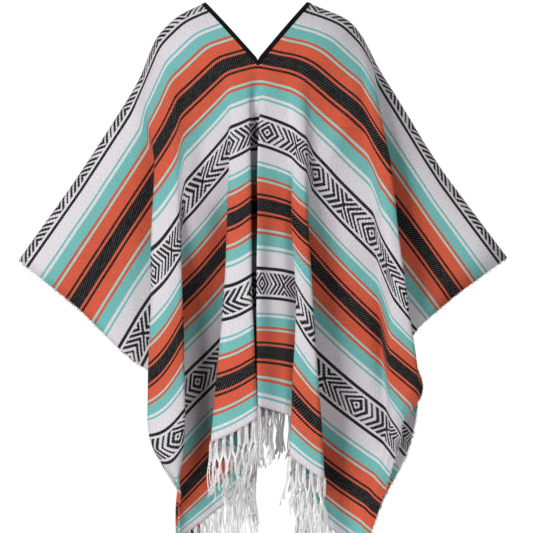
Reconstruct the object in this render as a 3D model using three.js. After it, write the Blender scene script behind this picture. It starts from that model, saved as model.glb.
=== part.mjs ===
// A mexican poncho, worn and hollow: one striped blanket folded over the shoulders, with a V neck
// slit bound in black tape and a knotted fringe at both hems.
// Millimetres. Origin on the shoulder line under the middle of the neck, +Z up, the front faces -Y.
import * as THREE from "three";

// The cut: each panel is half of the blanket, from the shoulder fold to its hem.
const HALF_WIDTH = 705;
const PANEL_LENGTH = 895;
const CLOTH_THICKNESS = 2;
const SEAM_GAP = 0.3;
const NECK_HALF_WIDTH = 44;
const NECK_DEPTH = 166;
const HEM_CLEARANCE = 1.9;
const FRINGE_REACH = 100;
const FRINGE_KNOTS = 14;
const FRINGE_THICKNESS = 1.3;
const TAPE_THICKNESS = 1;
const TAPE_CLEARANCE = 0.8;
const TAPE_COLUMNS = 3;
const TAPE_TIP = 16;

// How the cloth bends: over the shoulder it first runs forward and then falls, over a share of the
// neck's depth that is less out on the thin sleeves. Every crease is rounded over a length of cloth.
const SHOULDER_ROLL = { body: 0.09, sleeve: 0.05, from: 120, to: 330 };
const ROUNDING_SAMPLES = 9;
const CREASE_ROUNDING = 7;
const CREASE_MARGIN = 2;

// The back falls like the front, a little narrower on the left and wider at the right hip, where it
// shows past the front. Spread multiplies x and rise adds to z, at the stations below.
const BACK_DEPTH = 0.96;
const BACK_SPREAD = {
  left: [0.97, 0.96, 0.95, 0.94, 0.94, 0.94],
  right: [0.98, 0.99, 1.0, 1.11, 1.06, 1.03],
};
const BACK_RISE = { left: [0, 4, 8, 12, 16, 20], right: [0, 4, 4, -8, 0, 8] };

// The front's side edges are tucked in below the arms: at a length of cloth, over a reach, each fold
// moves in by its x.
const NOTCHES = {
  "lobe, far edge": { length: 706, reach: 52, x: 24 },
  "tuck under the arm": { length: 706, reach: 52, x: 20 },
  "middle of the sleeve": { length: 706, reach: 52, x: 18 },
  "selvedge": { length: 706, reach: 52, x: 16 },
  "right lobe, far edge": { length: 552, reach: 46, x: -15 },
  "tuck under the right arm": { length: 552, reach: 46, x: -18 },
  "middle of the right sleeve": { length: 552, reach: 46, x: -19 },
  "right selvedge": { length: 552, reach: 46, x: -20 },
};

// The line of the shoulder and arm fold, x and z from the neck to the end of the sleeve.
const SHOULDER_LEFT = [
  [-111, 0], [-149, -15], [-178, -34], [-204, -55], [-225, -97], [-252, -168], [-346, -319], [-502, -538],
];
const SHOULDER_RIGHT = [
  [104, 0], [155, -19], [185, -30], [206, -48], [227, -84], [262, -155], [336, -279], [445, -435],
  [523, -533],
];

// Cloth lengths below the shoulder fold at which the fold tables give x, y and z.
const STATIONS = [166, 315, 473, 630, 788, 895];

// One row for each fold line, from the neck out to the selvedge.
// start: where it leaves the shoulder fold, as cloth width from the middle.
// turn: 1 where the cloth turns round to the front of itself, -1 where it turns to the back.
// roll: depth between the two layers at the crease, at the neck, the waist and the hem.
// cells: mesh cells between the fold before and this one.
const LEFT_FOLDS = [
  {
    fold: "slit and middle", start: 44, turn: 0, roll: [0, 0, 0], cells: 0,
    at: [
      [0, -83, -126], [-11, -88, -281], [3, -88, -430],
      [21, -88, -598], [36, -90, -738], [47, -94, -856],
    ],
  },
  {
    fold: "middle tuck, far crease", start: 52, turn: 1, roll: [0, 6, 10], cells: 1,
    at: [
      [-6, -83, -128], [-21, -92, -281], [-24, -96, -433],
      [-36, -98, -606], [-36, -100, -758], [-36, -104, -874],
    ],
  },
  {
    fold: "ridge, near edge", start: 67, turn: 1, roll: [0, 9, 14], cells: 1,
    at: [
      [-13, -84, -130], [-14, -114, -279], [-13, -138, -430],
      [-12, -150, -605], [-5, -154, -758], [0, -156, -862],
    ],
  },
  {
    fold: "ridge, far edge", start: 97, turn: -1, roll: [0, 9, 14], cells: 3,
    at: [
      [-57, -86, -141], [-59, -110, -300], [-63, -126, -460],
      [-71, -134, -629], [-86, -138, -797], [-96, -140, -913],
    ],
  },
  {
    fold: "tuck behind the ridge", start: 113, turn: -1, roll: [0, 7, 10], cells: 2,
    at: [
      [-67, -84, -145], [-57, -90, -309], [-44, -68, -489],
      [-25, -56, -686], [-13, -60, -860], [-4, -56, -993],
    ],
  },
  {
    fold: "valley, end behind the lobe", start: 164, turn: 1, roll: [0, 9, 12], cells: 4,
    at: [
      [-162, -88, -234], [-156, -98, -424], [-172, -100, -632],
      [-168, -104, -835], [-162, -108, -1026], [-160, -113, -1112],
    ],
  },
  {
    fold: "lobe, near limb", start: 185, turn: 1, roll: [0, 10, 6], cells: 1,
    at: [
      [-172, -94, -264], [-160, -118, -492], [-153, -134, -682],
      [-150, -138, -884], [-166, -96, -1044], [-167, -98, -1117],
    ],
  },
  {
    fold: "lobe, far edge", start: 260, turn: -1, roll: [12, 10, 4], cells: 3,
    at: [
      [-214, -80, -330], [-218, -100, -568], [-226, -114, -781],
      [-219, -118, -928], [-162, -80, -1060], [-160, -80, -1130],
    ],
  },
  {
    fold: "tuck under the arm", start: 315, turn: -1, roll: [10, 4, 0], cells: 2,
    at: [
      [-191, -46, -352], [-164, -46, -578], [-176, -62, -800],
      [-209, -106, -942], [-153, -72, -1078], [-147, -72, -1146],
    ],
  },
  {
    fold: "middle of the sleeve", start: 505, turn: 0, roll: [0, 0, 0], cells: 2,
    at: [
      [-284, -44, -494], [-233, -50, -682], [-164, -64, -821],
      [-204, -104, -949], [-145, -70, -1090], [-136, -70, -1156],
    ],
  },
  {
    fold: "selvedge", start: 705, turn: 0, roll: [0, 0, 0], cells: 3,
    at: [
      [-376, -38, -638], [-267, -46, -743], [-155, -68, -825],
      [-199, -102, -955], [-137, -70, -1100], [-122, -70, -1165],
    ],
  },
];
const RIGHT_FOLDS = [
  LEFT_FOLDS[0],
  {
    fold: "middle tuck, near crease", start: 52, turn: 1, roll: [0, 6, 10], cells: 1,
    at: [
      [6, -83, -129], [15, -93, -275], [27, -96, -428],
      [38, -98, -594], [46, -100, -736], [56, -104, -854],
    ],
  },
  {
    fold: "centre panel, near edge", start: 63, turn: 1, roll: [0, 9, 14], cells: 1,
    at: [
      [13, -83, -131], [-1, -112, -271], [-1, -134, -426],
      [-1, -146, -588], [-1, -150, -728], [-1, -152, -838],
    ],
  },
  {
    fold: "tuck behind the right ridge", start: 88, turn: 1, roll: [0, 4, 10], cells: 3,
    at: [
      [65, -80, -139], [67, -104, -296], [82, -112, -447],
      [93, -112, -602], [100, -121, -745], [99, -130, -876],
    ],
  },
  {
    fold: "right ridge, near edge", start: 101, turn: 1, roll: [0, 6, 9], cells: 1,
    at: [
      [71, -82, -141], [74, -112, -300], [69, -131, -452],
      [78, -142, -622], [70, -147, -820], [66, -152, -938],
    ],
  },
  {
    fold: "right ridge, far edge", start: 130, turn: -1, roll: [0, 9, 14], cells: 2,
    at: [
      [94, -84, -151], [97, -120, -322], [105, -138, -489],
      [116, -150, -685], [130, -155, -880], [136, -157, -987],
    ],
  },
  {
    fold: "tuck at the panel", start: 143, turn: -1, roll: [0, 7, 10], cells: 2,
    at: [
      [103, -82, -156], [108, -98, -352], [90, -94, -520],
      [71, -80, -724], [76, -82, -920], [76, -84, -1023],
    ],
  },
  {
    fold: "step at the lobe", start: 168, turn: 0, roll: [0, 0, 0], cells: 4,
    at: [
      [223, -66, -254], [246, -64, -494], [256, -62, -690],
      [265, -60, -886], [227, -106, -1033], [197, -110, -1128],
    ],
  },
  {
    fold: "crown of the lobe", start: 186, turn: 0, roll: [0, 0, 0], cells: 2,
    at: [
      [242, -88, -292], [279, -108, -578], [268, -118, -742],
      [275, -104, -901], [233, -110, -1040], [204, -114, -1134],
    ],
  },
  {
    fold: "right lobe, far edge", start: 204, turn: -1, roll: [12, 2, 0], cells: 2,
    at: [
      [273, -86, -342], [310, -106, -624], [328, -118, -790],
      [283, -102, -911], [239, -110, -1046], [208, -114, -1138],
    ],
  },
  {
    fold: "tuck under the right arm", start: 240, turn: -1, roll: [10, 0, 0], cells: 2,
    at: [
      [237, -52, -391], [273, -64, -662], [335, -108, -799],
      [287, -100, -918], [244, -110, -1050], [212, -114, -1142],
    ],
  },
  {
    fold: "middle of the right sleeve", start: 480, turn: 0, roll: [0, 0, 0], cells: 2,
    at: [
      [341, -36, -523], [296, -64, -687], [338, -106, -806],
      [290, -100, -922], [248, -110, -1052], [214, -114, -1144],
    ],
  },
  {
    fold: "right selvedge", start: 705, turn: 0, roll: [0, 0, 0], cells: 3,
    at: [
      [407, -30, -617], [318, -62, -705], [341, -104, -812],
      [292, -100, -924], [250, -110, -1054], [216, -114, -1147],
    ],
  },
];

// Mesh rows down a panel: close together over the shoulder, where the cloth bends most.
const PANEL_ROWS = [
  SEAM_GAP / 2, 22, 50, 95, NECK_DEPTH, NECK_DEPTH + TAPE_TIP,
  235, 315, 394, 473, 551, 630, 709, 788, PANEL_LENGTH,
];
const NECK_ROWS = PANEL_ROWS.filter((v) => v <= NECK_DEPTH).length;

const mix = (a, b, t) => a + (b - a) * t;

// The back's fold table, made from the front's.
function backFolds(folds) {
  return folds.map((row) => ({
    ...row,
    fold: `${row.fold}, back`,
    at: row.at.map(([x, y, z], i) => {
      const side = x < 0 ? "left" : "right";
      return [x * BACK_SPREAD[side][i], -y * BACK_DEPTH, z + BACK_RISE[side][i]];
    }),
  }));
}

// The point at a share of a polyline's length.
function alongLine(points, share) {
  const lengths = points.slice(1).map((p, i) => Math.hypot(...p.map((c, k) => c - points[i][k])));
  let left = share * lengths.reduce((sum, part) => sum + part, 0);
  let i = 0;
  while (i < lengths.length - 1 && left > lengths[i]) {
    left -= lengths[i];
    i += 1;
  }
  return points[i].map((c, k) => mix(c, points[i + 1][k], left / lengths[i]));
}

// One coordinate of a fold line between its stations, as a smooth curve.
function smoothAt(values, v) {
  const last = STATIONS.length - 1;
  const i = Math.min(last - 1, Math.max(0, STATIONS.findIndex((s) => s >= v) - 1));
  const slope = (k) => {
    const a = Math.max(0, k - 1);
    const b = Math.min(last, k + 1);
    return (values[b] - values[a]) / (STATIONS[b] - STATIONS[a]);
  };
  const step = STATIONS[i + 1] - STATIONS[i];
  const t = (v - STATIONS[i]) / step;
  return (
    values[i] * (1 + 2 * t) * (1 - t) ** 2 +
    values[i + 1] * t * t * (3 - 2 * t) +
    step * (slope(i) * t * (1 - t) ** 2 - slope(i + 1) * t * t * (1 - t))
  );
}

// Where a fold line is at cloth length v, front or back alike.
function foldPoint(row, shoulder, v) {
  if (v >= NECK_DEPTH) {
    const [x, y, z] = [0, 1, 2].map((k) => smoothAt(row.at.map((p) => p[k]), v));
    const notch = NOTCHES[row.fold] ?? { length: 0, reach: 1, x: 0 };
    return [x + notch.x * Math.exp(-(((v - notch.length) / notch.reach) ** 2)), y, z];
  }
  const share = (row.start - NECK_HALF_WIDTH) / (HALF_WIDTH - NECK_HALF_WIDTH);
  const [sx, sz] = alongLine(shoulder, share);
  const [x, y, z] = row.at[0];
  const t = v / NECK_DEPTH;
  const { body, sleeve, from, to } = SHOULDER_ROLL;
  const roll = mix(body, sleeve, Math.min(1, Math.max(0, (row.start - from) / (to - from))));
  const fall = (Math.hypot(1, t / roll) - 1) / (Math.hypot(1, 1 / roll) - 1);
  const reach = Math.abs(y);
  const forward = Math.tanh(v / reach) / Math.tanh(NECK_DEPTH / reach);
  return [mix(sx, x, fall), y * forward, mix(sz, z, fall)];
}

// The depth between the layers of a crease at cloth length v.
function rollAt([neck, waist, hem], v) {
  const waistLength = STATIONS[2];
  if (v < NECK_DEPTH) return (neck * v) / NECK_DEPTH;
  if (v < waistLength) return mix(neck, waist, (v - NECK_DEPTH) / (waistLength - NECK_DEPTH));
  return mix(waist, hem, (v - waistLength) / (PANEL_LENGTH - waistLength));
}

// A sharp row of the cloth: the fold points in order, each crease as a front and a back point, and
// the mesh columns, each a place in the list and a distance past it.
function sharpRow(folds, shoulder, v, facing) {
  const points = [];
  const columns = [{ place: 0, past: 0 }];
  for (const row of folds) {
    const [x, y, z] = foldPoint(row, shoulder, v);
    const half = (rollAt(row.roll, v) / 2) * row.turn * facing;
    const here = points.length;
    for (let c = 1; c < row.cells; c += 1) columns.push({ place: here - 1 + c / row.cells, past: 0 });
    points.push([x, y - half, z]);
    if (row.turn !== 0) {
      points.push([x, y + half, z]);
      columns.push({ place: here, past: -CREASE_MARGIN });
      columns.push({ place: here + 1, past: CREASE_MARGIN });
    } else if (here > 0) {
      columns.push({ place: here, past: 0 });
    }
  }
  return { points, columns };
}

// A sharp row with its creases rounded: each column is the mean of the row on both sides of it.
function roundedRow({ points, columns }) {
  const lengths = [0];
  for (let i = 1; i < points.length; i += 1) {
    lengths.push(lengths[i - 1] + Math.hypot(...points[i].map((c, k) => c - points[i - 1][k])));
  }
  const total = lengths[lengths.length - 1];
  const pointAt = (length) => {
    let i = 1;
    while (i < lengths.length - 1 && length > lengths[i]) i += 1;
    const span = lengths[i] - lengths[i - 1] || 1;
    return points[i].map((c, k) => mix(points[i - 1][k], c, (length - lengths[i - 1]) / span));
  };
  return columns.map(({ place, past }) => {
    const i = Math.min(points.length - 2, Math.floor(place));
    const length = mix(lengths[i], lengths[i + 1], place - i) + past;
    const reach = Math.min(CREASE_ROUNDING, length, total - length);
    const mean = [0, 0, 0];
    for (let s = 0; s < ROUNDING_SAMPLES; s += 1) {
      const offset = reach * ((2 * s) / (ROUNDING_SAMPLES - 1) - 1);
      pointAt(length + offset).forEach((c, k) => {
        mean[k] += c / ROUNDING_SAMPLES;
      });
    }
    return new THREE.Vector3(...mean);
  });
}

// The cloth's middle surface for one panel, as rows of points from the left selvedge to the right.
// Above the end of the slit a row is in two parts; below it, one.
function panelRows(left, right, facing, lengths) {
  return lengths.map((v) => {
    const a = sharpRow(left, SHOULDER_LEFT, v, facing);
    const b = sharpRow(right, SHOULDER_RIGHT, v, facing);
    if (v < NECK_DEPTH) return { left: roundedRow(a).reverse(), right: roundedRow(b) };
    const middle = a.points.length - 1;
    const mirrored = a.columns.map(({ place, past }) => ({ place: middle - place, past: -past }));
    const onward = b.columns.slice(1).map(({ place, past }) => ({ place: place + middle, past }));
    const whole = roundedRow({
      points: [...a.points].reverse().concat(b.points.slice(1)),
      columns: mirrored.reverse().concat(onward),
    });
    return { left: whole.slice(0, a.columns.length), right: whole.slice(a.columns.length - 1) };
  });
}

// Points and triangles of a sheet from its rows; the two halves share the middle column where they meet.
function sheetOf(rows, facing) {
  const points = [];
  const index = rows.map(({ left, right }) => {
    const leftIds = left.map((p) => points.push(p) - 1);
    const shared = left[left.length - 1].distanceTo(right[0]) < SEAM_GAP;
    const middle = leftIds[leftIds.length - 1];
    const rightIds = right.map((p, c) => (c === 0 && shared ? middle : points.push(p) - 1));
    return { left: leftIds, right: rightIds };
  });
  const slit = new Set(index.flatMap(({ left, right }) => [left[left.length - 1], right[0]]));
  const triangles = [];
  for (let r = 0; r < rows.length - 1; r += 1) {
    for (const side of ["left", "right"]) {
      for (let c = 0; c < index[r][side].length - 1; c += 1) {
        const [p, q] = [index[r][side][c], index[r][side][c + 1]];
        const [s, t] = [index[r + 1][side][c], index[r + 1][side][c + 1]];
        triangles.push(facing < 0 ? [p, s, q] : [p, q, s], facing < 0 ? [q, s, t] : [q, t, s]);
      }
    }
  }
  return { points, triangles, slit };
}

// The mean direction of the faces round each point of a sheet.
function sheetNormals({ points, triangles }) {
  const normals = points.map(() => new THREE.Vector3());
  for (const [a, b, c] of triangles) {
    const u = points[b].clone().sub(points[a]);
    const face = u.cross(points[c].clone().sub(points[a]));
    for (const id of [a, b, c]) normals[id].add(face);
  }
  return normals.map((n) => n.normalize());
}

// The edges of a sheet that only one triangle has, as pairs of point numbers.
function openEdges(triangles) {
  const open = new Map();
  for (const [a, b, c] of triangles) {
    for (const [from, to] of [[a, b], [b, c], [c, a]]) {
      if (!open.delete(`${to},${from}`)) open.set(`${from},${to}`, [from, to]);
    }
  }
  return [...open.values()];
}

// A geometry from layers of equal point count and triangles of point numbers.
function solidOf(layers, faces) {
  const geometry = new THREE.BufferGeometry();
  geometry.setFromPoints(layers.flat());
  geometry.setIndex(faces.flat());
  geometry.computeVertexNormals();
  return geometry;
}

// A closed solid: the sheet moved out by half its thickness on both sides, joined along its edges.
function thicken(sheet, thickness) {
  const { points, triangles } = sheet;
  const normals = sheetNormals(sheet);
  // Along the shoulder fold the edge stands square to the seam.
  points.forEach((p, i) => {
    if (Math.abs(p.y) < SEAM_GAP) normals[i].setY(0).normalize();
  });
  const count = points.length;
  const layers = [0.5, -0.5].map((side) =>
    points.map((p, i) => p.clone().addScaledVector(normals[i], thickness * side)),
  );
  const faces = triangles.flatMap(([a, b, c]) => [[a, b, c], [a + count, c + count, b + count]]);
  for (const [from, to] of openEdges(triangles)) {
    faces.push([to, from, from + count], [to, from + count, to + count]);
  }
  return solidOf(layers, faces);
}

// The fringe's plain solid: from just under the hem, along the knotted heading, then straight down.
// Its gap is wider where the hem runs steeply through a crease.
function fringeRows(rows) {
  const above = rows[rows.length - 2];
  const hem = rows[rows.length - 1];
  const slopeTo = (p, other) => (other ? other.clone().sub(p).normalize().z ** 2 : 0);
  const strip = (drop, fall) => {
    const lower = (side) =>
      hem[side].map((p, c, line) => {
        const along = p.clone().sub(above[side][c]).normalize();
        const steep = Math.max(slopeTo(p, line[c - 1]), slopeTo(p, line[c + 1]));
        const gap = SEAM_GAP + HEM_CLEARANCE * steep;
        return p.clone().addScaledVector(along, gap + drop).add(new THREE.Vector3(0, 0, -fall));
      });
    return { left: lower("left"), right: lower("right") };
  };
  return [strip(0, 0), strip(FRINGE_KNOTS, 0), strip(FRINGE_KNOTS, FRINGE_REACH - FRINGE_KNOTS)];
}

// The sheet under the neck tape: the panels' columns beside the slit, from the tip at the back
// over the shoulders to the tip at the front.
function tapeSheet(frontRows, backRows) {
  const beside = (rows) =>
    rows.slice(0, NECK_ROWS).map(({ left, right }) => ({
      left: left.slice(-TAPE_COLUMNS),
      right: right.slice(0, TAPE_COLUMNS),
    }));
  const sheet = sheetOf([...beside(backRows).reverse(), ...beside(frontRows)], FRONT);
  const across = 2 * TAPE_COLUMNS - 1;
  const lastRow = sheet.points.length - across;
  const backTip = sheet.points.push(backRows[NECK_ROWS].right[0]) - 1;
  const frontTip = sheet.points.push(frontRows[NECK_ROWS].right[0]) - 1;
  for (let c = 0; c < across - 1; c += 1) {
    sheet.triangles.push([backTip, c, c + 1], [lastRow + c, frontTip, lastRow + c + 1]);
  }
  return sheet;
}

// The black tape: one layer on each face of the cloth, joined round the edge of the slit.
function tapeGeometry(sheet) {
  const { points, triangles, slit } = sheet;
  const normals = sheetNormals(sheet);
  const edges = openEdges(triangles);
  const isSlit = ([from, to]) => slit.has(from) && slit.has(to);
  const outward = new Map([...slit].map((id) => [id, []]));
  for (const [from, to] of edges.filter(isSlit)) {
    const out = points[to].clone().sub(points[from]).cross(normals[from]).normalize();
    outward.get(from).push(out);
    outward.get(to).push(out);
  }
  // Past the edge of the slit, with a mitre where the edge turns.
  const pastEdge = (id, distance) => {
    const mean = new THREE.Vector3();
    outward.get(id).forEach((out, _, all) => mean.addScaledVector(out, 1 / all.length));
    return mean.multiplyScalar(distance / mean.lengthSq());
  };
  const clear = CLOTH_THICKNESS / 2 + TAPE_CLEARANCE;
  const layer = (side, extra) =>
    points.map((p, id) => {
      const moved = p.clone().addScaledVector(normals[id], side * (clear + extra));
      return slit.has(id) ? moved.add(pastEdge(id, SEAM_GAP + extra)) : moved;
    });
  const layers = [layer(1, TAPE_THICKNESS), layer(1, 0), layer(-1, 0), layer(-1, TAPE_THICKNESS)];
  const at = (id, k) => id + k * points.length;
  const wall = ([from, to], k, m) => [
    [at(to, k), at(from, k), at(from, m)],
    [at(to, k), at(from, m), at(to, m)],
  ];
  const faces = triangles.flatMap(([a, b, c]) => [
    [at(a, 0), at(b, 0), at(c, 0)],
    [at(a, 1), at(c, 1), at(b, 1)],
    [at(a, 2), at(b, 2), at(c, 2)],
    [at(a, 3), at(c, 3), at(b, 3)],
  ]);
  for (const edge of edges) {
    const reversed = [edge[1], edge[0]];
    if (isSlit(edge)) faces.push(...wall(edge, 0, 3), ...wall(reversed, 1, 2));
    else faces.push(...wall(edge, 0, 1), ...wall(edge, 2, 3));
  }
  return solidOf(layers, faces);
}

function piece(name, geometry, color, roughness) {
  const mesh = new THREE.Mesh(geometry, new THREE.MeshStandardMaterial({ color, roughness, metalness: 0 }));
  mesh.name = name;
  return mesh;
}

const FRONT = -1;
const BACK = 1;
const frontRows = panelRows(LEFT_FOLDS, RIGHT_FOLDS, FRONT, PANEL_ROWS);
const backRows = panelRows(backFolds(LEFT_FOLDS), backFolds(RIGHT_FOLDS), BACK, PANEL_ROWS);

const poncho = new THREE.Group();
poncho.add(
  piece("front_panel", thicken(sheetOf(frontRows, FRONT), CLOTH_THICKNESS), 0xd9d4da, 0.95),
  piece("back_panel", thicken(sheetOf(backRows, BACK), CLOTH_THICKNESS), 0xd9d4da, 0.95),
  piece("neck_tape", tapeGeometry(tapeSheet(frontRows, backRows)), 0x19191b, 0.85),
  piece("front_fringe", thicken(sheetOf(fringeRows(frontRows), FRONT), FRINGE_THICKNESS), 0xe9e7e9, 0.95),
  piece("back_fringe", thicken(sheetOf(fringeRows(backRows), BACK), FRINGE_THICKNESS), 0xe9e7e9, 0.95),
);

export default poncho;
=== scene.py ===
# %% [markdown]
# # A worn Mexican poncho
# The piece is one blanket of striped cotton, folded over the shoulders. A slit in its middle is the
# neck, bound in black tape, and the warp ends are knotted into a fringe at both hems.
# This lesson builds it in four parts: the cloth, the tape, the fringes, and the loops of the edges.
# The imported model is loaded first, so that everything is made in its frame, in metres.

# %% Load the frame
import math

import bpy
import numpy as np
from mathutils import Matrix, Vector, noise


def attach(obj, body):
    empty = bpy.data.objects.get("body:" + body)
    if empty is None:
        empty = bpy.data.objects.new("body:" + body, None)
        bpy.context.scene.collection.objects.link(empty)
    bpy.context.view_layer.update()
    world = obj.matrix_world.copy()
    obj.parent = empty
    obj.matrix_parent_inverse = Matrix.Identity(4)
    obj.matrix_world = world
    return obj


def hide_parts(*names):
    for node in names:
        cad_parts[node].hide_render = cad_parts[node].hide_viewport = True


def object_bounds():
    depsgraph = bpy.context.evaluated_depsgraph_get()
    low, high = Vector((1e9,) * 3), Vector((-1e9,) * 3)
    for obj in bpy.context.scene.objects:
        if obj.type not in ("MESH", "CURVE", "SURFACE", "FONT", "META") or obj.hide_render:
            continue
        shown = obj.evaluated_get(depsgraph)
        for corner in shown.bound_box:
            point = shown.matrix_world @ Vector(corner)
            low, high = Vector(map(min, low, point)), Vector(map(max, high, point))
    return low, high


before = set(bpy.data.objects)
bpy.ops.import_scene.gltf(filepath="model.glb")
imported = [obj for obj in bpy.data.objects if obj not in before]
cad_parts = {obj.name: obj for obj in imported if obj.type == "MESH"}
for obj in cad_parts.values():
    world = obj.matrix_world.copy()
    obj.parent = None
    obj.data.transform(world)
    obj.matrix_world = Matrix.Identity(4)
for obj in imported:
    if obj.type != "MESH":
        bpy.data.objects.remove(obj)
cad_low, cad_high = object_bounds()
MM = 0.001
rng = np.random.default_rng(7)
print("nodes:", sorted(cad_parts))

# %% [markdown]
# ## The sizes of the cut
# A weaver's note would say: 1.41 m wide and 1.79 m long, with a slit along the middle. Half of the
# length hangs in front. All the lengths here are millimetres of cloth, and meshes are scaled to
# metres when they are made.

# %% Sizes of the blanket
HALF_WIDTH = 705
PANEL_LENGTH = 895
CLOTH_THICKNESS = 2
NECK_HALF_WIDTH = 44
NECK_DEPTH = 166
# How wide the bend over the shoulder is, as a share of the neck's depth, at two cloth widths.
SHOULDER_ROLL = ((120, 330), (0.09, 0.05))
print("cut:", 2 * HALF_WIDTH, "x", 2 * PANEL_LENGTH, "mm")

# %% [markdown]
# ## The folds
# Cloth this heavy hangs in a few long folds. They could come from a cloth simulation, but then the
# folds land where the solver likes. Here each fold is a line given one by one, from the shoulder down to
# the hem, as a dresser would lay it with the fingers.
# A row of the table has the fold's name, where it leaves the shoulder (cloth width from the middle),
# which way the cloth turns there (1 to the front of itself, -1 to the back), the depth of the turn at
# neck, waist and hem, and how the cloth before it bellies and sags: forwards (less than 0) or back,
# and down. Then come x, y, z and the cloth width used up so far, each at six lengths of cloth.

# %% Fold tables
STATIONS = np.array([166, 315, 473, 630, 788, 895], float)
# The shoulder line of each side, x and z from the edge of the neck to the cuff.
SHOULDER_LEFT = np.array([
    (-111, 0), (-149, -15), (-178, -34), (-204, -55), (-225, -97), (-252, -168), (-346, -319),
    (-502, -538),
], float)
SHOULDER_RIGHT = np.array([
    (104, 0), (155, -19), (185, -30), (206, -48), (227, -84), (262, -155), (336, -279), (445, -435),
    (523, -533),
], float)
LEFT_FOLDS = [
    # name, start, turn, depths, belly and sag, x, y, z, cloth width
    ("slit and middle", 44, 0, (0, 0, 0), (0, 0),
     (0, -11, 3, 21, 36, 47), (-83, -88, -88, -88, -90, -94),
     (-126, -281, -430, -598, -738, -856), (0, 0, 0, 0, 0, 0)),
    ("middle tuck, far crease", 52, 1, (0, 6, 10), (0, 0),
     (-6, -21, -24, -36, -36, -36), (-83, -92, -96, -98, -100, -104),
     (-128, -281, -433, -606, -758, -874), (4, 11, 36, 71, 95, 103)),
    ("ridge, near edge", 67, 1, (0, 9, 14), (0, 0),
     (-13, -14, -13, -12, -5, 0), (-84, -114, -138, -150, -154, -156),
     (-130, -279, -430, -605, -758, -862), (8, 17, 53, 105, 137, 158)),
    ("ridge, far edge", 97, -1, (0, 9, 14), (-6, 4),
     (-57, -59, -63, -71, -86, -96), (-86, -110, -126, -134, -138, -140),
     (-141, -300, -460, -629, -797, -913), (55, 80, 122, 170, 225, 269)),
    ("tuck behind the ridge", 113, -1, (0, 7, 10), (0, 0),
     (-67, -57, -44, -25, -13, -4), (-84, -90, -68, -56, -60, -56),
     (-145, -309, -489, -686, -860, -993), (67, 90, 170, 260, 340, 395)),
    ("valley, end behind the lobe", 164, 1, (0, 9, 12), (11, 4),
     (-162, -156, -172, -168, -162, -160), (-88, -98, -100, -104, -108, -113),
     (-234, -424, -632, -835, -1026, -1112), (193, 230, 374, 483, 550, 578)),
    ("lobe, near limb", 185, 1, (0, 10, 6), (0, 0),
     (-172, -160, -153, -150, -166, -167), (-94, -118, -134, -138, -96, -98),
     (-264, -492, -682, -884, -1044, -1117), (210, 290, 425, 550, 599, 613)),
    ("lobe, far edge", 260, -1, (12, 10, 4), (-12, 14),
     (-214, -218, -226, -219, -162, -160), (-80, -100, -114, -118, -80, -80),
     (-330, -568, -781, -928, -1060, -1130), (311, 428, 557, 641, 641, 647)),
    ("tuck under the arm", 315, -1, (10, 4, 0), (0, 0),
     (-191, -164, -176, -209, -153, -147), (-46, -46, -62, -106, -72, -72),
     (-352, -578, -800, -942, -1078, -1146), (372, 531, 630, 672, 672, 676)),
    ("middle of the sleeve", 505, 0, (0, 0, 0), (0, 0),
     (-284, -233, -164, -204, -145, -136), (-44, -50, -64, -104, -70, -70),
     (-494, -682, -821, -949, -1090, -1156), (542, 641, 668, 689, 689, 691)),
    ("selvedge", 705, 0, (0, 0, 0), (0, 0),
     (-376, -267, -155, -199, -137, -122), (-38, -46, -68, -102, -70, -70),
     (-638, -743, -825, -955, -1100, -1165), (705, 705, 705, 705, 705, 705)),
]
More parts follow.
